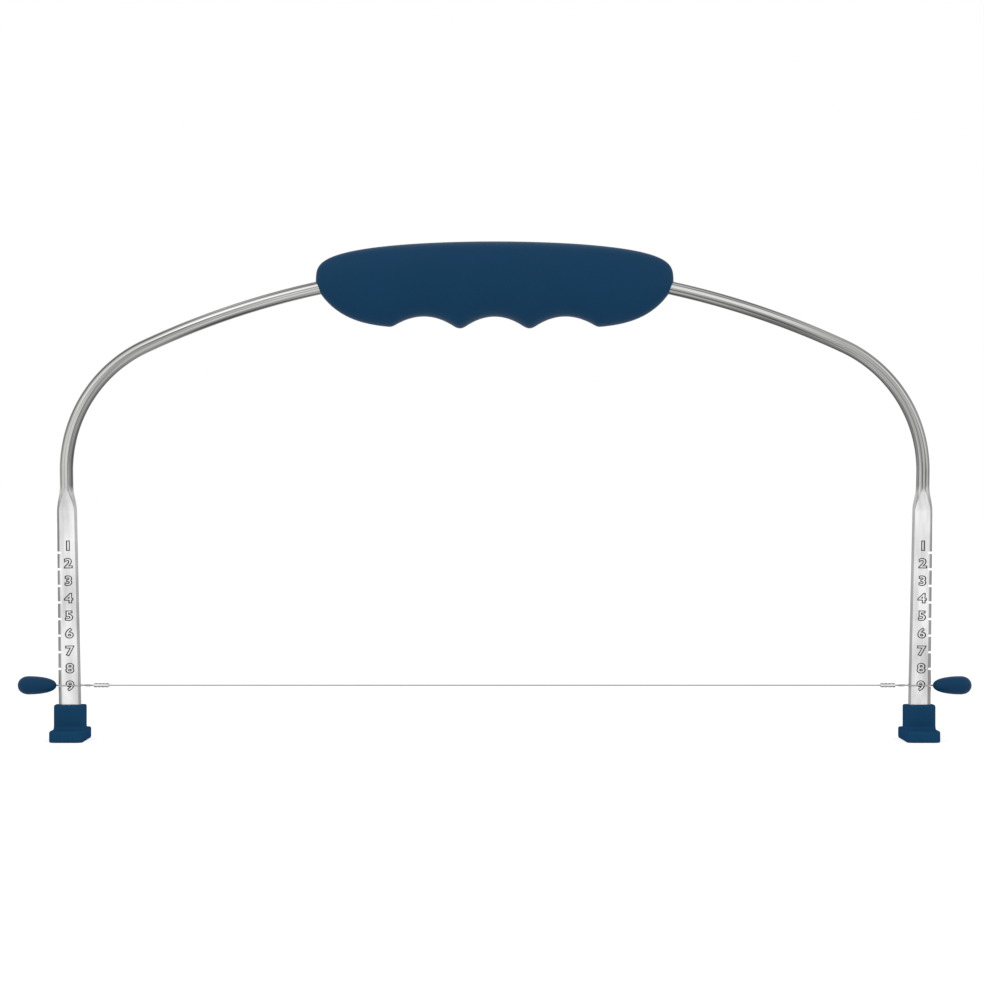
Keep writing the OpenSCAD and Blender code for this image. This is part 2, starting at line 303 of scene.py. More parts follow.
def loftMesh(name, rings, material):  # a closed skin over rings of equally many points
    count = len(rings[0])
    points = [point for ring in rings for point in ring]
    faces = [
        (start + i, start + (i + 1) % count, start + count + (i + 1) % count, start + count + i)
        for start in range(0, count * (len(rings) - 1), count)
        for i in range(count)
    ]
    faces.append(tuple(reversed(range(count))))
    faces.append(tuple(range(len(points) - count, len(points))))
    mesh = bpy.data.meshes.new(name)
    mesh.from_pydata(points, [], faces)
    mesh.materials.append(material)
    return mesh


def mirrorMesh(mesh, name, axis=0):
    copy = mesh.copy()
    copy.name = name
    for vertex in copy.vertices:
        vertex.co[axis] = -vertex.co[axis]
    copy.flip_normals()
    return copy


# Shader node groups that the materials share

def newGroup(name, inputs, outputs):
    group = bpy.data.node_groups.new(name, "ShaderNodeTree")
    for label, value in inputs.items():
        kind = "NodeSocketColor" if isinstance(value, tuple) else "NodeSocketFloat"
        socket = group.interface.new_socket(label, in_out="INPUT", socket_type=kind)
        socket.default_value = value
    for label, kind in outputs.items():
        group.interface.new_socket(label, in_out="OUTPUT", socket_type=kind)
    given = group.nodes.new("NodeGroupInput").outputs
    result = group.nodes.new("NodeGroupOutput").inputs
    return group, {label: Field(group, given[label]) for label in inputs}, result


surfaceOutputs = {"Color": "NodeSocketColor", "Roughness": "NodeSocketFloat", "Normal": "NodeSocketVector"}


def shade(group, color, change):  # the color made darker or lighter by a share
    scaled = addNode(group, "ShaderNodeVectorMath", {0: color, "Scale": change + 1.0}, operation="SCALE")
    return scaled.outputs[0]


def swing(group, place, scale, detail):  # noise that swings around zero
    noise = addNode(group, "ShaderNodeTexNoise", {"Vector": place, "Scale": scale, "Detail": detail})
    return Field(group, noise.outputs["Fac"]) - 0.5


def makeMouldedSkin():  # smooth moulded plastic: fine spark grain, and slow patches from the cooling
    group, given, result = newGroup("mouldedSkin", {
        "Color": (0.5, 0.5, 0.5, 1.0),
        "Grain Scale": 2500.0,
        "Patch Scale": 60.0,
        "Color Change": 0.1,
        "Roughness": 0.4,
        "Roughness Change": 0.1,
        "Grain Height": 0.1,
    }, surfaceOutputs)
    place = addNode(group, "ShaderNodeTexCoord").outputs["Object"]
    grain = swing(group, place, given["Grain Scale"], detail=3)
    patch = swing(group, place, given["Patch Scale"], detail=2)
    grainShare = 0.3
    mixed = (patch + grain * grainShare) * given["Color Change"]
    plug(group, shade(group, given["Color"], mixed), result["Color"])
    rough = (grain + patch) * given["Roughness Change"] + given["Roughness"]
    plug(group, rough, result["Roughness"])
    bump = addNode(
        group, "ShaderNodeBump", {"Strength": given["Grain Height"], "Distance": 0.0001, "Height": grain})
    plug(group, bump.outputs["Normal"], result["Normal"])
    return group


def makeDrawnMetal():  # drawn steel: streaks that follow the metal, along the attribute "flow", and painted dark reflection bands towards the edges
    group, given, result = newGroup("drawnMetal", {
        "Color": (0.5, 0.5, 0.5, 1.0),
        "Streak Width": 0.0004,
        "Streak Length": 0.03,
        "Streak Depth": 0.4,
        "Roughness": 0.2,
        "Roughness Change": 0.2,
        "Ripple Size": 0.008,
        "Ripple Height": 0.05,
        "Half Width": 0.0025,
        "Edge Start": 0.5,
        "Edge Drift": 0.0,
        "Painted Dark Reflection": 0.0,
    }, surfaceOutputs)
    flow = addNode(group, "ShaderNodeAttribute", attribute_name="flow")
    parts = addNode(group, "ShaderNodeSeparateXYZ", {0: flow.outputs["Vector"]})
    across, deep, along = (Field(group, socket) for socket in parts.outputs)
    wide = given["Streak Width"]
    place = vector(group, across / wide, deep / wide, along / given["Streak Length"])
    streak = swing(group, place, scale=1.0, detail=1)
    fine = swing(group, place, scale=4.0, detail=2)
    wander = swing(group, vector(group, 0.0, 0.0, along), scale=12.0, detail=1)
    fromMiddle = size(across / given["Half Width"] + wander * given["Edge Drift"])
    start = given["Edge Start"]
    edge = between((fromMiddle - start) / (1 - start), 0, 1)
    # painted dark reflection: the bands towards the edges are darkened in the colour, standing in for
    # darker surroundings mirrored in the metal
    paintedDarkReflection = easeIn(edge) * given["Painted Dark Reflection"]
    fineShare = 0.25
    change = (streak + fine * fineShare) * given["Streak Depth"] * (1 - paintedDarkReflection) - paintedDarkReflection
    plug(group, shade(group, given["Color"], change), result["Color"])
    rough = (streak + fine) * given["Roughness Change"] + given["Roughness"]
    plug(group, rough, result["Roughness"])
    ripple = given["Ripple Size"]
    slow = swing(group, vector(group, across / ripple, deep / ripple, along / ripple), scale=1.0, detail=1)
    streakShare = 0.03
    bump = addNode(group, "ShaderNodeBump", {
        "Strength": given["Ripple Height"],
        "Distance": 0.001,
        "Height": slow + streak * streakShare,
    })
    plug(group, bump.outputs["Normal"], result["Normal"])
    return group


mouldedSkin = makeMouldedSkin()
drawnMetal = makeDrawnMetal()


def makeMaterial(name, group, settings, metallic, specular=0.5):
    material = bpy.data.materials.new(name)
    material.use_nodes = True
    tree = material.node_tree
    shader = tree.nodes["Principled BSDF"]
    shader.inputs["Metallic"].default_value = metallic
    shader.inputs["Specular IOR Level"].default_value = specular
    block = addNode(tree, "ShaderNodeGroup", node_tree=group)
    for label, value in settings.items():
        block.inputs[label].default_value = value
    for outlet, socket in (("Color", "Base Color"), ("Roughness", "Roughness"), ("Normal", "Normal")):
        tree.links.new(block.outputs[outlet], shader.inputs[socket])
    return material


def blendColor(tree, share, first, second):
    mix = addNode(tree, "ShaderNodeMixRGB", {"Fac": share, "Color1": first, "Color2": second})
    return mix.outputs["Color"]


# the rod's streaks are so deep that they are partly drawn lines and partly painted reflection streaks, and
# its edges carry painted dark reflection bands
rodFinish = {
    "Color": (0.44, 0.44, 0.43, 1),
    "Streak Width": 0.00065,
    "Streak Length": 0.09,
    "Streak Depth": 3.6,
    "Roughness": 0.2,
    "Roughness Change": 0.15,
    "Ripple Height": 0.12,
    "Edge Start": 0.35,
    "Edge Drift": 1.4,
    "Painted Dark Reflection": 0.7,
}
# painted reflection: the pressed faces are lighter than the drawn rod, as the flats mirror the bright
# backdrop
paintedFlatReflection = {
    "Color": (0.91, 0.91, 0.91, 1),
    "Streak Width": 0.004,
    "Streak Length": 0.02,
    "Streak Depth": 1.0,
}
pressedBlend = {
    "neckRise": 4,  # how soon the painted reflection of the pressed faces comes up along the neck
    "onEdges": 0.4,  # share of that finish on the legs' rounded edges
    "onNotches": 0.26,  # and on the notched ones
    "notchesStart": 0.0026,  # distance from the leg's middle to the notched edge
    "notchesBlend": 0.0005,
    "wallGain": 3,  # these two tell the stamp's walls from its floor and from the leg's face
    "wallStart": 0.3,
}
# painted dark reflection for the stamp's sloped walls
paintedStampWallReflection = (0.035, 0.035, 0.035, 1)
blue = (0.0028, 0.0405, 0.1, 1)


def makeSteel():  # the pressed faces get a painted reflection, brighter than the drawn rod, and the stamp's walls a painted dark reflection
    material = makeMaterial("polishedSteel", drawnMetal, rodFinish, metallic=1)
    tree = material.node_tree
    shader = tree.nodes["Principled BSDF"]
    drawn = shader.inputs["Base Color"].links[0].from_socket
    flat = addNode(tree, "ShaderNodeGroup", node_tree=drawnMetal)
    for label, value in paintedFlatReflection.items():
        flat.inputs[label].default_value = value
    marks = addNode(tree, "ShaderNodeAttribute", attribute_name="marks")
    parts = addNode(tree, "ShaderNodeSeparateXYZ", {0: marks.outputs["Vector"]})
    facet, stamped, _ = (Field(tree, socket) for socket in parts.outputs)
    pressMark = addNode(tree, "ShaderNodeAttribute", attribute_name="press")
    press = Field(tree, pressMark.outputs["Fac"]) * 3  # Fac is the mean of three parts, two of them 0
    flow = addNode(tree, "ShaderNodeAttribute", attribute_name="flow")
    across = Field(tree, addNode(tree, "ShaderNodeSeparateXYZ", {0: flow.outputs["Vector"]}).outputs[0])
    onEdges, onNotches = pressedBlend["onEdges"], pressedBlend["onNotches"]
    notched = between((across - pressedBlend["notchesStart"]) / pressedBlend["notchesBlend"], 0, 1)
    share = facet * (1 - notched) * (1 - onEdges) + onEdges - notched * (onEdges - onNotches)
    pressed = least(press * pressedBlend["neckRise"], 1) * share
    halfway = 1 - size(stamped * 2 - 1)
    wall = between(halfway * pressedBlend["wallGain"] - pressedBlend["wallStart"], 0, 1)
    # painted reflection: the pressed faces are blended towards the lighter finish
    paintedReflectionColor = blendColor(tree, pressed, drawn, flat.outputs["Color"])
    # painted dark reflection in the stamp's sloped walls
    tree.links.new(blendColor(tree, wall, paintedReflectionColor, paintedStampWallReflection), shader.inputs["Base Color"])
    return material


polishedSteel = makeSteel()
wireSteel = makeMaterial("wireSteel", drawnMetal, {
    "Color": (0.42, 0.42, 0.41, 1),
    "Streak Width": 0.0001,
    "Streak Length": 0.01,
    "Roughness": 0.3,
}, metallic=1)
# the crimp's edges carry painted dark reflection bands
crimpMetal = makeMaterial("crimpMetal", drawnMetal, {
    "Color": (0.8, 0.8, 0.79, 1),
    "Streak Width": 0.0003,
    "Streak Length": 0.006,
    "Streak Depth": 0.5,
    "Roughness": 0.3,
    "Half Width": 0.0006,
    "Edge Start": 0.3,
    "Painted Dark Reflection": 0.75,
}, metallic=1)
bluePlastic = makeMaterial("bluePlastic", mouldedSkin, {
    "Color": blue,
    "Roughness": 0.45,
    "Grain Height": 0.12,
}, metallic=0, specular=0.1)
pullPlastic = makeMaterial("pullPlastic", mouldedSkin, {
    "Color": blue,
    "Roughness": 0.4,
    "Grain Height": 0.08,
    "Patch Scale": 150,
}, metallic=0, specular=0.1)
footRubber = makeMaterial("footRubber", mouldedSkin, {
    "Color": (0.0112, 0.0565, 0.129, 1),
    "Roughness": 0.6,
    "Grain Scale": 3500,
    "Grain Height": 0.2,
    "Patch Scale": 120,
}, metallic=0, specular=0.0)
print("materials made")


# The bow: one rod, bent and with both ends pressed flat, notched and stamped

wireLow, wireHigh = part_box("cutting_wire")
bow = {
    "bowRadius": 0.310,
    "shoulderRadius": 0.051,
    "bowHeight": 0.1762,  # of the rod's centre line, at the middle
    "legSpan": 0.3204,
    "legLean": math.radians(0.9),
    "rodRadius": 0.0025,
    "flatTop": 0.0858,
    "neckLength": 0.009,
    "legTopWidth": 0.0074,
    "legEndWidth": 0.0085,
    "legThickness": 0.0025,
    "legEdgeRadius": 0.0009,
    "edgePower": 0.7,  # how soon the rod's section turns square along the neck
    "legEnd": 0.003,
    "notchCount": 9,
    "notchPitch": 0.0062,
    "lowestNotch": (wireLow.z + wireHigh.z) / 2,  # where the wire lies at rest
    "notchWidth": 0.0009,
    "notchDepth": 0.00115,
    "numerals": "\n".join(str(n) for n in range(1, 10)),
    "numeralSize": 0.0047,
    "numeralStretch": 1.25,  # of the numerals' width
    "numeralMiddle": 0.36,  # of their size, above the line that they stand on
    "numeralPitch": 0.00654,
    "numeralShift": 0.0003,  # to the right of each leg's middle
    "numeralSteps": 4,  # along each curve of a numeral's outline
    "mitreLimit": 0.6,  # the outline's corners are moved out by up to 1 over this
    "longestSide": 0.8,  # of the numerals' size: a longer step leads to another outline
    "stampDepth": 0.00022,
    "stampSlope": 0.00034,
    "stampSpread": 0.00034,  # of the whole outline, before the slope
    "stampOver": 1.08,  # height of the cutter, in stamp depths
    "ringsAlong": 720,
    "pointsAround": 48,
}


class BowShape:  # the bow's lengths and angles, from settings that are fields or plain numbers
    def __init__(self, given):
        self.given = given
        self.lean = given["legLean"]
        self.legX = given["legSpan"] / 2
        self.angle = arcSine(
            (self.legX - given["shoulderRadius"]) / (given["bowRadius"] - given["shoulderRadius"]))
        self.endAngle = self.lean + math.pi / 2
        self.bowLength = given["bowRadius"] * self.angle
        self.shoulderLength = given["shoulderRadius"] * (self.endAngle - self.angle)
        self.legStart = self.bowLength + self.shoulderLength
        self.centreZ = given["bowHeight"] - given["bowRadius"]
        self.shoulderX = self.legX - given["shoulderRadius"]
        self.shoulderZ = (
            self.centreZ + (given["bowRadius"] - given["shoulderRadius"]) * cosine(self.angle))
        self.bendX = self.shoulderX + given["shoulderRadius"] * cosine(self.lean)
        self.bendZ = self.shoulderZ - given["shoulderRadius"] * sine(self.lean)

    def downLeg(self, z):  # distance down the leg from the end of the shoulder bend
        return (self.bendZ - z) / cosine(self.lean)

    def legMiddle(self, z):
        return self.bendX - (self.bendZ - z) * sine(self.lean) / cosine(self.lean)

    def legHalfWidth(self, z):
        given = self.given
        taper = (given["flatTop"] - z) / (given["flatTop"] - given["legEnd"])
        return (given["legTopWidth"] + (given["legEndWidth"] - given["legTopWidth"]) * taper) / 2

    def notchX(self):  # where the notches end, all on one upright line
        low = self.given["lowestNotch"]
        return self.legMiddle(low) + self.legHalfWidth(low) - self.given["notchDepth"]

    def section(self, down):  # half width, half thickness and edge radius, down the leg
        given = self.given
        neckEnd = self.downLeg(given["flatTop"])
        press = between((down - neckEnd) / given["neckLength"] + 1, 0, 1)
        taper = most((down - neckEnd) / (self.downLeg(given["legEnd"]) - neckEnd), 0)
        flatWidth = given["legTopWidth"] + (given["legEndWidth"] - given["legTopWidth"]) * taper
        rod = given["rodRadius"]
        halfWidth = rod + (flatWidth / 2 - rod) * easeIn(press)
        halfThickness = rod + (given["legThickness"] / 2 - rod) * easeIn(press)
        edge = rod + (given["legEdgeRadius"] - rod) * press ** given["edgePower"]
        return halfWidth, halfThickness, edge, press


def sweptRod(tree, given, shape):
    barrel = cylinder(tree, 1.0, 2.0, given["pointsAround"], given["ringsAlong"])
    u, v, w = positionFields(tree)
    side = signOf(w)
    along = size(w) * (shape.legStart + shape.downLeg(given["legEnd"]))
    bowTurn = least(along, shape.bowLength) / given["bowRadius"]
    turn = bowTurn + between(along - shape.bowLength, 0, shape.shoulderLength) / given["shoulderRadius"]
    down = most(along - shape.legStart, 0)
    shoulderTurn = most(turn, shape.angle)
    pathX = (
        given["bowRadius"] * sine(bowTurn)
        + given["shoulderRadius"] * (sine(shoulderTurn) - sine(shape.angle))
        - down * sine(shape.lean))
    pathZ = (
        shape.centreZ + given["bowRadius"] * cosine(bowTurn)
        - given["shoulderRadius"] * (cosine(shape.angle) - cosine(shoulderTurn))
        - down * cosine(shape.lean))
    halfWidth, halfThickness, edge, _ = shape.section(along - shape.legStart)
    around = turnOf(v, u) + math.pi / given["pointsAround"]  # half a step, so that the flats lie square
    outward = signOf(cosine(around)) * (halfWidth - edge) + edge * cosine(around)
    across = signOf(sine(around)) * (halfThickness - edge) + edge * sine(around)
    return movedTo(
        tree, barrel,
        side * (pathX + outward * sine(turn)),
        -across,
        pathZ + outward * cosine(turn))


def notchCutters(tree, given, shape):
    notchX = shape.notchX()
    drill = cylinder(tree, given["notchWidth"] / 2, given["legThickness"] * 3)
    lying = shifted(tree, drill, turn=(math.pi / 2, 0, 0))
    x, y, z = positionFields(tree)
    slot = movedTo(tree, lying, x + above(x, -tiny) * given["legEndWidth"], y, z)
    line = addNode(
        tree, "GeometryNodeMeshLine",
        {
            "Count": given["notchCount"],
            "Start Location": vector(tree, notchX + given["notchWidth"] / 2, 0.0, given["lowestNotch"]),
            "Offset": vector(tree, 0.0, 0.0, given["notchPitch"]),
        },
        mode="OFFSET",
    ).outputs[0]
    row = addNode(tree, "GeometryNodeInstanceOnPoints", {"Points": line, "Instance": slot}).outputs[0]
    right = addNode(tree, "GeometryNodeRealizeInstances", {0: row}).outputs[0]
    return [right, mirrored(tree, right)]


def outwardSpread(tree, given, outline):  # from the outline outwards, and further at its corners
    trace = addNode(tree, "GeometryNodeCurveToPoints", {0: outline}, mode="EVALUATED")
    sampled = addNode(tree, "GeometryNodeSampleNearest", {0: trace.outputs["Points"]})
    nearest = Field(tree, sampled.outputs[0])
    place = addNode(tree, "GeometryNodeInputPosition").outputs[0]

    def atTrace(value, index):
        return addNode(
            tree, "GeometryNodeSampleIndex", {0: trace.outputs["Points"], "Value": value, "Index": index},
            data_type="FLOAT_VECTOR",
        ).outputs[0]

    def ofVectors(operation, first, second=(0, 0, 0)):
        node = addNode(tree, "ShaderNodeVectorMath", {0: first, 1: second}, operation=operation)
        return node.outputs["Value" if operation in ("DOT_PRODUCT", "LENGTH") else "Vector"]

    def straightness(start, end):  # cosine of the turn between the outline's heading and one of its sides
        step = ofVectors("SUBTRACT", atTrace(place, end), atTrace(place, start))
        longest = given["numeralSize"] * given["longestSide"]
        isSide = 1 - above(Field(tree, ofVectors("LENGTH", step)), longest)
        return size(Field(tree, ofVectors("DOT_PRODUCT", ofVectors("NORMALIZE", step), heading))) * isSide

    heading = atTrace(trace.outputs["Tangent"], nearest)
    outward = ofVectors("CROSS_PRODUCT", heading, (0, 0, 1))
    straight = most(straightness(nearest, nearest + 1), straightness(nearest - 1, nearest))
    mitre = 1 / between(straight, given["mitreLimit"], 1)
    _, _, height = positionFields(tree)
    slope = (above(height, given["stampDepth"]) * given["stampOver"] - 1) * given["stampSlope"]
    reach = (slope + given["stampSpread"]) * mitre
    return addNode(
        tree, "ShaderNodeVectorMath", {0: outward, "Scale": reach}, operation="SCALE").outputs[0]


def numeralCutters(tree, given, shape):
    text = addNode(
        tree, "GeometryNodeStringToCurves",
        {
            "String": given["numerals"],
            "Size": given["numeralSize"],
            "Line Spacing": given["numeralPitch"] / given["numeralSize"],
        },
        align_x="CENTER", align_y="TOP_BASELINE",
    ).outputs[0]
    real = addNode(tree, "GeometryNodeRealizeInstances", {0: text}).outputs[0]
    outline = addNode(
        tree, "GeometryNodeSetSplineResolution", {0: real, "Resolution": given["numeralSteps"]}).outputs[0]
    faces = addNode(tree, "GeometryNodeFillCurve", {0: outline}, mode="TRIANGLES").outputs[0]
    solid = addNode(
        tree, "GeometryNodeExtrudeMesh",
        {"Mesh": faces, "Offset Scale": given["stampDepth"] * given["stampOver"], "Individual": False},
        mode="FACES")
    under = addNode(tree, "GeometryNodeFlipFaces", {0: faces}).outputs[0]
    joined = addNode(tree, "GeometryNodeJoinGeometry")
    tree.links.new(solid.outputs["Mesh"], joined.inputs[0])
    tree.links.new(under, joined.inputs[0])
    closed = addNode(
        tree, "GeometryNodeMergeByDistance", {0: joined.outputs[0], "Distance": tiny}).outputs[0]
    spread = outwardSpread(tree, given, outline)
    wedge = addNode(tree, "GeometryNodeSetPosition", {"Geometry": closed, "Offset": spread}).outputs[0]
    top = given["lowestNotch"] + given["numeralPitch"] * (given["notchCount"] - 1)
    toMiddle = vector(tree, 0.0, given["numeralSize"] * given["numeralMiddle"] * -1, 0.0)
    wide = vector(tree, given["numeralStretch"], 1.0, 1.0)
    centred = shifted(tree, wedge, shift=toMiddle, scale=wide)
    standing = shifted(tree, centred, turn=(math.pi / 2, 0, 0))
    cutters = []
    for side in (-1, 1):
        leaning = shifted(tree, standing, turn=vector(tree, 0.0, shape.lean * side, 0.0))
        place = vector(
            tree, shape.legMiddle(top) * side + given["numeralShift"],
            given["stampDepth"] - given["legThickness"] / 2, top)
        cutters.append(shifted(tree, leaning, shift=place))
    return cutters


def surfaceMarks(tree, geometry, given, shape):  # where the metal flows, is pressed and is stamped
    x, y, z = positionFields(tree)
    across = size(x)
    bowTurn = turnOf(across, z - shape.centreZ)
    onBow = 1 - above(bowTurn, shape.angle)
    shoulderTurn = turnOf(across - shape.shoulderX, z - shape.shoulderZ)
    onShoulder = (1 - onBow) * (1 - above(shoulderTurn, shape.endAngle))
    onLeg = (1 - onBow) * (1 - onShoulder)
    down = (across - shape.bendX) * -1 * sine(shape.lean) + (shape.bendZ - z) * cosine(shape.lean)
    fromLeg = (across - shape.bendX) * cosine(shape.lean) + (shape.bendZ - z) * sine(shape.lean)
    offset = (
        onBow * (distance(across, z - shape.centreZ) - given["bowRadius"])
        + onShoulder * (distance(across - shape.shoulderX, z - shape.shoulderZ) - given["shoulderRadius"])
        + onLeg * fromLeg)
    along = (
        onBow * bowTurn * given["bowRadius"]
        + onShoulder * (shape.bowLength + (shoulderTurn - shape.angle) * given["shoulderRadius"])
        + onLeg * (shape.legStart + down))
    flowing = keepAttribute(tree, geometry, "flow", offset, y, along * signOf(x))
    halfWidth, _, edge, press = shape.section(down)
    facet = onLeg * above(halfWidth - edge - size(offset), 0)
    stamped = (
        facet * between((y + given["legThickness"] / 2) / given["stampDepth"], 0, 1)
        * (1 - above(y, 0)) * above(press, nearlyOne))
    marked = keepAttribute(tree, flowing, "marks", facet, stamped, 0.0, "FACE")
    return keepAttribute(tree, marked, "press", onLeg * press, 0.0, 0.0)


def bowTree():
    tree, given = startTree("steelBow", bow)
    shape = BowShape(given)
    rod = sweptRod(tree, given, shape)
    notched = cutAway(tree, rod, notchCutters(tree, given, shape))
    stamped = cutAway(tree, notched, numeralCutters(tree, given, shape))
    endTree(tree, surfaceMarks(tree, stamped, given, shape), given)
    return tree


steelBow = grow("steelBow", bowTree(), bow, polishedSteel)
for face in steelBow.data.polygons:
    if face.center.z < bow["flatTop"] and abs(face.normal.y) > nearlyOne:
        face.use_smooth = False  # the pressed faces stay flat beside their rounded edges
leg = BowShape(bow)  # the same lengths as plain numbers, for what fits on the legs
print("bow made:", len(steelBow.data.polygons), "faces")


# The handle: two moulded half shells round the rod

grip = {
    "halfLength": 0.0669,
    "noseHeight": 0.1703,
    "topRise": 0.0162,
    "ridgeDrop": 0.0163,
    "halfThickness": 0.0097,
    "innerRidge": 0.013,
    "outerRidge": 0.0396,
    "topPower": 0.25,  # the lower, the squarer the outline's ends
    "bottomSpread": 6.0,  # the higher, the further the outline stays straight
    "bottomPower": 1 / 1.2,
    "sideSpread": 2.5,
    "sidePower": 0.4,
    "sectionPower": 2 / 2.3,
    "frontShare": 0.75,  # of the points around, on the outside: the rest is on the parting face
    "grooveDepth": 0.0044,
    "ridgeRounding": 0.1,
    "seamWidth": 0.0003,
    "seamDepth": 0.00014,
    "bowRadius": bow["bowRadius"],
    "bowHeight": bow["bowHeight"],
    "channelRadius": bow["rodRadius"] + 0.00005,
    "channelTurn": 0.3,  # half the channel's arc, which ends outside the handle
    "channelSteps": 96,
    "channelPoints": 48,
    "ringsAlong": 260,
    "pointsAround": 112,
}


def fingerGroove(x, start, end, given):  # one arch between two narrow rounded ridges
    rounding = given["ridgeRounding"]
    share = least(size(x * 2 - start - end) / (end - start), 1)
    arch = share * share * (1 + 2 * rounding)
    mixed = between((1 + 2 * rounding - arch) / (4 * rounding), 0, 1)
    ridge = arch * mixed + (1 - mixed) - 2 * rounding * mixed * (1 - mixed)
    return given["grooveDepth"] * (1 - ridge)


def gripTree():
    tree, given = startTree("gripShell", grip)
    barrel = cylinder(tree, 1.0, 2.0, given["pointsAround"], given["ringsAlong"])
    u, v, w = positionFields(tree)
    x = given["halfLength"] * sine(w * (math.pi / 2))
    share = least(size(x) / given["halfLength"], nearlyOne)
    inner, outer = given["innerRidge"], given["outerRidge"]
    ridges = [-outer, -inner, inner, outer]
    groove = sum(fingerGroove(x, start, end, given) for start, end in zip(ridges, ridges[1:]))
    bottomArch = (1 - share ** given["bottomSpread"]) ** given["bottomPower"]
    sideArch = (1 - share ** given["sideSpread"]) ** given["sidePower"]
    top = given["noseHeight"] + given["topRise"] * (1 - share ** 2) ** given["topPower"]
    bottom = given["noseHeight"] - given["ridgeDrop"] * bottomArch + groove
    halfThickness = given["halfThickness"] * sideArch
    middle = given["noseHeight"] + groove / 2
    around = turnOf(v, u) / -math.pi
    lift = sine(between(around / given["frontShare"], -1, 1) * (math.pi / 2)) * (math.pi / 2)
    rise = above(lift, 0) * (top - middle) + (1 - above(lift, 0)) * (middle - bottom)
    y = -halfThickness * most(cosine(lift), 0) ** given["sectionPower"]
    seam = given["seamDepth"] * most(1 + y / given["seamWidth"], 0)
    bulge = rise * size(sine(lift)) ** given["sectionPower"]
    outside = middle + signOf(lift) * (bulge - least(seam, rise / 2))
    centre = (top + bottom) / 2
    face = between((1 - size(around)) / (1 - given["frontShare"]), 0, 1)
    shell = movedTo(tree, barrel, x, y, centre + (outside - centre) * face)
    arc = addNode(
        tree, "GeometryNodeCurveArc",
        {
            "Resolution": given["channelSteps"],
            "Radius": given["bowRadius"],
            "Start Angle": math.pi / 2 - given["channelTurn"],
            "Sweep Angle": given["channelTurn"] * 2,
        },
        mode="RADIUS",
    ).outputs[0]
    tube = tubeAlong(tree, arc, given["channelRadius"], given["channelPoints"])
    upright = shifted(tree, tube, turn=(math.pi / 2, 0, 0))
    bowCentre = vector(tree, 0.0, 0.0, given["bowHeight"] - given["bowRadius"])
    channel = shifted(tree, upright, shift=bowCentre)
    endTree(tree, cutAway(tree, shell, [channel]), given)
    return tree


handleFront = grow("handleFront", gripTree(), grip, bluePlastic, sharpAngle=40)
handleRear = newPiece("handleRear", mirrorMesh(handleFront.data, "handleRear", axis=1))
print("handle made:", len(handleFront.data.polygons), "faces a half")


# The feet: a rubber cap on each leg, with a flat base that runs to the front and the back

footLow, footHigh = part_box("right_foot")
foot = {
    "centreX": (footLow.x + footHigh.x) / 2,
    "baseHalf": ((footHigh.x - footLow.x) / 2, (footHigh.y - footLow.y) / 2),
    "baseHeight": 0.0042,
    "baseCorner": 0.0024,
    "socketHalf": (0.0058, 0.0038),
    "socketCorner": 0.0016,
    "height": footHigh.z,
    "edge": (0.00035, 0.0008),  # the sides' rounding, and that of the front, the back and the height
    "fillet": (0.0001, 0.0016),
    "floor": 0.003,
    "lip": 0.00025,
    "fit": 0.00008,
    "cornerSteps": 8,
    "edgeSteps": 5,
}


def roundedRectangle(centreX, half, radius, z, steps):
    ring = []
    for corner in range(4):
        signX = 1 if corner in (0, 3) else -1
        signY = 1 if corner < 2 else -1
        for i in range(steps):
            angle = math.pi / 2 * (corner + i / (steps - 1))
            ring.append((
                centreX + signX * (half[0] - radius) + radius * math.cos(angle),
                signY * (half[1] - radius) + radius * math.sin(angle),
                z,
            ))
    return ring


def footRings():
    steps, edge, fillet = foot["edgeSteps"], foot["edge"], foot["fillet"]
    quarters = [math.pi / 2 * i / (steps - 1) for i in range(steps)]
    rings = []

    def addRing(half, radius, inset, share, z):
        reach = (half[0] - inset[0] * share, half[1] - inset[1] * share)
        corner = radius - inset[0] * share
        rings.append(roundedRectangle(foot["centreX"], reach, corner, z, foot["cornerSteps"]))

    base, baseCorner = foot["baseHalf"], foot["baseCorner"]
    socket, socketCorner = foot["socketHalf"], foot["socketCorner"]
    for angle in quarters:
        addRing(base, baseCorner, edge, 1 - math.sin(angle), edge[1] * (1 - math.cos(angle)))
    for angle in reversed(quarters):
        z = foot["baseHeight"] - edge[1] * (1 - math.cos(angle))
        addRing(base, baseCorner, edge, 1 - math.sin(angle), z)
    for angle in quarters:
        z = foot["baseHeight"] + fillet[1] * (1 - math.cos(angle))
        addRing(socket, socketCorner, fillet, math.sin(angle) - 1, z)
    for angle in reversed(quarters):
        z = foot["height"] - edge[1] * (1 - math.cos(angle))
        addRing(socket, socketCorner, edge, 1 - math.sin(angle), z)

    def hole(z, lip):
        spare = foot["fit"] + lip
        half = (leg.legHalfWidth(z) + spare, bow["legThickness"] / 2 + spare)
        radius = bow["legEdgeRadius"] + spare
        rings.append(roundedRectangle(leg.legMiddle(z), half, radius, z, foot["cornerSteps"]))

    hole(foot["height"], foot["lip"])
    hole(foot["height"] - foot["lip"], 0)
    hole(foot["floor"], 0)
    return rings


footRight = newPiece("footRight", loftMesh("footRight", footRings(), footRubber))
footLeft = newPiece("footLeft", mirrorMesh(footRight.data, "footLeft"))
for piece in (footRight, footLeft):
    smoothOff(piece, 40)
    keepFlats(piece)
print("feet made")


# The pulls: a teardrop on each of the wire's ends

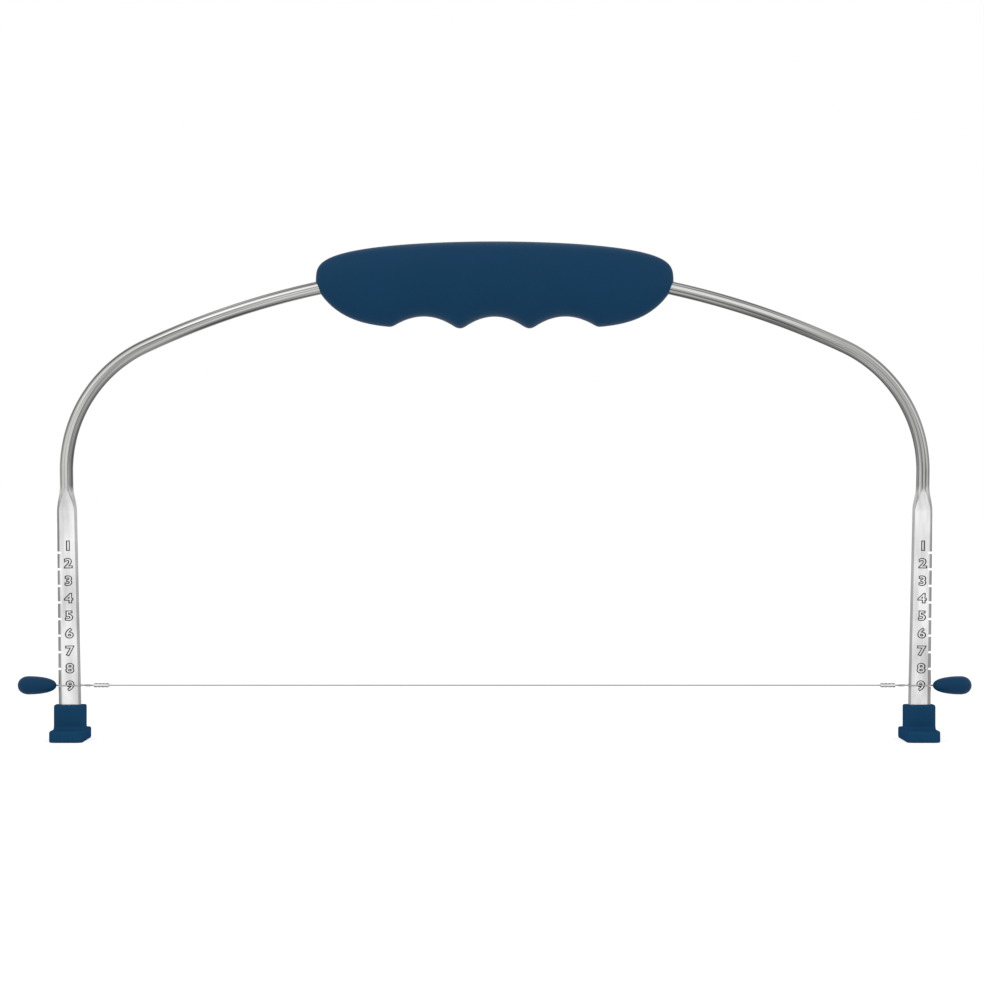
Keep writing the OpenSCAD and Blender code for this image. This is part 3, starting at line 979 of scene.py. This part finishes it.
pullLow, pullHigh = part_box("right_pull")
pull = {
    "length": 0.0144,
    "end": pullHigh.x,
    "height": (pullLow.z + pullHigh.z) / 2,
    "radius": (pullHigh.z - pullLow.z) / 2,
    "bellyShare": 0.71,
    "tipPower": 0.4,  # the lower, the blunter the tip
    "buttPower": 2.15,  # 2 would make the butt an ellipse
    "endRadius": 0.00002,  # of the smallest ring
    "boreRadius": 0.00056,
    "boreDepth": 0.0066,
    "lip": 0.0001,
    "pointsAround": 64,
    "steps": 26,
}


def pullRadius(share):  # of the teardrop, from its tip at 0 to the end of its butt at 1
    belly, power = pull["bellyShare"], pull["buttPower"]
    if share < belly:
        return pull["radius"] * (1 - (1 - share / belly) ** 2) ** pull["tipPower"]
    return pull["radius"] * max(0, 1 - ((share - belly) / (1 - belly)) ** power) ** (1 / power)


def pullRings():
    tip = pull["end"] - pull["length"]
    steps = pull["steps"]
    belly = pull["bellyShare"]
    mouth = pull["boreRadius"] + pull["lip"]
    shares = [belly * (i / steps) ** 2 for i in range(1, steps)]
    shares += [belly + (1 - belly) * math.sin(math.pi / 2 * i / steps) for i in range(steps + 1)]
    radii = [max(pullRadius(share), pull["endRadius"]) for share in shares]
    outline = [(tip + pull["length"] * share, radius) for share, radius in zip(shares, radii)]
    outline = [(x, radius) for x, radius in outline if radius > mouth]
    start = outline[0][0] - pull["lip"]
    outline = [
        (tip + pull["boreDepth"], pull["boreRadius"]),
        (start + pull["lip"], pull["boreRadius"]),
        (start, mouth),
        *outline,
    ]
    return [
        [
            (
                x,
                -radius * math.cos(2 * math.pi * i / pull["pointsAround"]),
                pull["height"] + radius * math.sin(2 * math.pi * i / pull["pointsAround"]),
            )
            for i in range(pull["pointsAround"])
        ]
        for x, radius in outline
    ]


pullRight = newPiece("pullRight", loftMesh("pullRight", pullRings(), pullPlastic))
pullLeft = newPiece("pullLeft", mirrorMesh(pullRight.data, "pullLeft"))
for piece in (pullRight, pullLeft):
    smoothOff(piece, 40)
print("pulls made")


# The wire: a straight span, and at each end a doubled loop that passes the leg on both sides

crimpLow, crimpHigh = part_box("right_crimp")
wireHeight = bow["lowestNotch"]
pullTip = pull["end"] - pull["length"]
wire = {
    "radius": 0.00025,
    "height": wireHeight,
    "sleeveEnd": crimpHigh.x,
    "tailEnd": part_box("right_wire_loop")[0].x,
    "legInner": leg.legMiddle(wireHeight) - leg.legHalfWidth(wireHeight),
    "notchX": leg.notchX(),
    "entry": pullTip + 0.0002,
    "eyeX": pullTip + 0.006,
    "strandY": bow["legThickness"] / 2 + 0.0003,
    "pairY": 0.00027,
    "boreStep": 0.00068,
    "strandRise": 0.00028,  # how far the strands part in height, on their way to the leg
    "spanSteps": 40,
    "swaySteps": 18,
    "eyeSteps": 10,
}


def sway(start, end, rise=0.0):  # a soft S from one point to the other, which may also rise
    path = []
    for i in range(wire["swaySteps"] + 1):
        share = i / wire["swaySteps"]
        soft = (1 - math.cos(math.pi * share)) / 2
        path.append((
            start[0] + (end[0] - start[0]) * share,
            start[1] + (end[1] - start[1]) * soft,
            start[2] + rise * math.sin(math.pi * share) ** 2,
        ))
    return path


def loopPath():
    z = wire["height"]
    behind = wire["boreStep"]
    entry, pair, strand = wire["entry"], wire["pairY"], wire["strandY"]
    rise = wire["strandRise"]
    front = sway((wire["sleeveEnd"], 0, z), (wire["legInner"], -strand, z), rise)
    front += sway((wire["notchX"], -strand, z), (entry, -pair, z))
    turns = [math.pi * (i / wire["eyeSteps"] - 0.5) for i in range(wire["eyeSteps"] + 1)]
    eye = [(wire["eyeX"] + pair * math.cos(turn), pair * math.sin(turn), z) for turn in turns]
    back = sway((entry, pair, z), (wire["notchX"], strand, z))
    back += sway((wire["legInner"], strand, z), (wire["sleeveEnd"], behind, z), -rise)
    return front + eye + back + [(wire["tailEnd"], behind, z)]


wireSizes = {"radius": wire["radius"], "pointsAround": 20}


def wireTree():  # a round wire along the piece's own mesh, which is a line of edges
    tree, given = startTree("roundWire", wireSizes)
    path = addNode(tree, "GeometryNodeMeshToCurve", {0: given["mesh"]}).outputs[0]
    tube = tubeAlong(tree, path, given["radius"], given["pointsAround"])
    x, y, z = positionFields(tree)
    endTree(tree, keepAttribute(tree, tube, "flow", y, z, x), given)
    return tree


def strungWire(name, path, tree):
    mesh = bpy.data.meshes.new(name)
    mesh.from_pydata(path, [(i, i + 1) for i in range(len(path) - 1)], [])
    return grow(name, tree, wireSizes, wireSteel, sharpAngle=40, mesh=mesh)


tubeTree = wireTree()
halfSteps = wire["spanSteps"] // 2
span = [(wire["sleeveEnd"] * i / halfSteps, 0, wire["height"]) for i in range(-halfSteps, halfSteps + 1)]
cuttingWire = strungWire("cuttingWire", span, tubeTree)
wireLoopRight = strungWire("wireLoopRight", loopPath(), tubeTree)
wireLoopLeft = strungWire("wireLoopLeft", [(-x, y, z) for x, y, z in loopPath()], tubeTree)
print("wire made")


# The crimps: oval sleeves swaged flat in three places

crimp = {
    "start": crimpLow.x,
    "sleeveLength": crimpHigh.x - crimpLow.x,
    "height": wire["height"],
    "boreStep": wire["boreStep"],
    "boreRadius": 0.00029,
    "boreOver": 1.2,  # length of the bores' cutters, in sleeve lengths
    "outerRadius": (crimpHigh.z - crimpLow.z) / 2,
    "dentDepth": 0.00014,
    "dents": 3.0,
    "dentPower": 0.6,  # the lower, the flatter the dents' bottoms
    "plainEnd": 0.12,  # share of the length that stays undented at each end
    "endRound": 0.00024,
    "endLength": 0.0008,
    "ringsAlong": 100,
    "pointsAround": 64,
}


def crimpTree():
    tree, given = startTree("crimpSleeve", crimp)
    barrel = cylinder(tree, 1.0, 1.0, given["pointsAround"], given["ringsAlong"])
    u, v, w = positionFields(tree)
    share = w + 0.5
    around = turnOf(v, u) + math.pi / given["pointsAround"]
    fromEnd = least(share, 1 - share) * given["sleeveLength"] / given["endLength"]
    rounded = 1 - least(fromEnd, 1)
    trim = given["endRound"] * (1 - calc(tree, "SQRT", 1 - rounded * rounded))
    wave = most(cosine((share * (given["dents"] + 1)) * (2 * math.pi)), 0)
    inMiddle = above(least(share, 1 - share), given["plainEnd"])
    pinch = given["dentDepth"] * wave ** given["dentPower"] * inMiddle
    radius = given["outerRadius"] - trim
    back = given["boreStep"] / 2 * (1 + signOf(sine(around))) + sine(around) * radius
    sleeve = movedTo(
        tree, barrel,
        given["start"] + share * given["sleeveLength"],
        given["boreStep"] - back,
        given["height"] + cosine(around) * (radius - pinch))
    bore = cylinder(tree, given["boreRadius"], given["sleeveLength"] * given["boreOver"])
    lying = shifted(tree, bore, turn=(0, math.pi / 2, 0))
    bores = []
    for behind in (0.0, 1.0):
        place = vector(
            tree, given["start"] + given["sleeveLength"] / 2, given["boreStep"] * behind, given["height"])
        bores.append(shifted(tree, lying, shift=place))
    bored = cutAway(tree, sleeve, bores)
    x, y, z = positionFields(tree)
    endTree(tree, keepAttribute(tree, bored, "flow", z - given["height"], y, x), given)
    return tree


crimpRight = grow("crimpRight", crimpTree(), crimp, crimpMetal)
crimpLeft = newPiece("crimpLeft", mirrorMesh(crimpRight.data, "crimpLeft"))
print("crimps made")


# Which body each piece rides on, which node it stands for and which slot it is painted from

roles = [
    (steelBow, "frame", "frame_rod", "polished_steel"),
    (handleFront, "frame", "handle_front_shell", "handle_plastic"),
    (handleRear, "frame", "handle_rear_shell", "handle_plastic"),
    (footLeft, "frame", "left_foot", "foot_rubber"),
    (footRight, "frame", "right_foot", "foot_rubber"),
    (cuttingWire, "wire_set", "cutting_wire", "wire_steel"),
    (wireLoopLeft, "wire_set", "left_wire_loop", "wire_steel"),
    (wireLoopRight, "wire_set", "right_wire_loop", "wire_steel"),
    (crimpLeft, "wire_set", "left_crimp", "crimp_metal"),
    (crimpRight, "wire_set", "right_crimp", "crimp_metal"),
    (pullLeft, "wire_set", "left_pull", "pull_plastic"),
    (pullRight, "wire_set", "right_pull", "pull_plastic"),
]
for piece, body, node, slot in roles:
    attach(piece, body)
    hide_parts(node)
print("pieces mounted")


# Floor, backdrop and soft studio light

studio = {
    "floorSize": 14,
    "floorColor": (0.86, 0.86, 0.86, 1),
    "cameraFloorColor": (0.36, 0.36, 0.36, 1),
    "cameraFloorGlow": 0.74,
    "worldLight": 0.84,
    "lampAim": (0, 0, 0.1),
    "keyLamp": {"place": (-0.8, -1.0, 1.2), "extent": (1.4, 1.4), "power": 3.5},
    "fillLamp": {"place": (1.0, -0.9, 0.7), "extent": (1.2, 1.4), "power": 2},
}


def rayMix(tree, outlets):
    rays = addNode(tree, "ShaderNodeLightPath")
    seen = Field(tree, rays.outputs[outlets[0]])
    for outlet in outlets[1:]:
        seen = most(seen, Field(tree, rays.outputs[outlet]))
    return seen


def whiteWorld():
    world = bpy.data.worlds.new("studioWorld")
    scene.world = world
    world.use_nodes = True
    tree = world.node_tree
    sky = tree.nodes["Background"]
    sky.inputs["Color"].default_value = (1, 1, 1, 1)
    seen = rayMix(tree, ["Is Camera Ray", "Is Glossy Ray", "Is Transmission Ray"])
    plug(tree, seen * (1 - studio["worldLight"]) + studio["worldLight"], sky.inputs["Strength"])


def addLamp(name):
    settings = studio[name]
    data = bpy.data.lights.new(name, "AREA")
    data.shape = "RECTANGLE"
    data.size, data.size_y = settings["extent"]
    data.energy = settings["power"]
    lamp = bpy.data.objects.new(name, data)
    lamp.location = settings["place"]
    aim = Vector(studio["lampAim"]) - Vector(settings["place"])
    lamp.rotation_mode = "QUATERNION"
    lamp.rotation_quaternion = aim.to_track_quat("-Z", "Y")
    scene.collection.objects.link(lamp)


def addFloor():
    half = studio["floorSize"] / 2
    corners = [(-half, -half, 0), (half, -half, 0), (half, half, 0), (-half, half, 0)]
    mesh = bpy.data.meshes.new("floor")
    mesh.from_pydata(corners, [], [(0, 1, 2, 3)])
    material = bpy.data.materials.new("paleFloor")
    material.use_nodes = True
    tree = material.node_tree
    tree.nodes.remove(tree.nodes["Principled BSDF"])
    plain = addNode(tree, "ShaderNodeBsdfDiffuse", {"Color": studio["floorColor"]}).outputs[0]
    shaded = addNode(tree, "ShaderNodeBsdfDiffuse", {"Color": studio["cameraFloorColor"]}).outputs[0]
    glow = addNode(tree, "ShaderNodeEmission", {"Strength": studio["cameraFloorGlow"]}).outputs[0]
    seen = addNode(tree, "ShaderNodeAddShader", {0: shaded, 1: glow}).outputs[0]
    share = rayMix(tree, ["Is Camera Ray"])
    mixed = addNode(tree, "ShaderNodeMixShader", {0: share, 1: plain, 2: seen}).outputs[0]
    tree.links.new(mixed, tree.nodes["Material Output"].inputs["Surface"])
    mesh.materials.append(material)
    floor = newPiece("floor", mesh)


scene.view_settings.view_transform = "Standard"
whiteWorld()
addLamp("keyLamp")
addLamp("fillLamp")
addFloor()
print("studio lit")
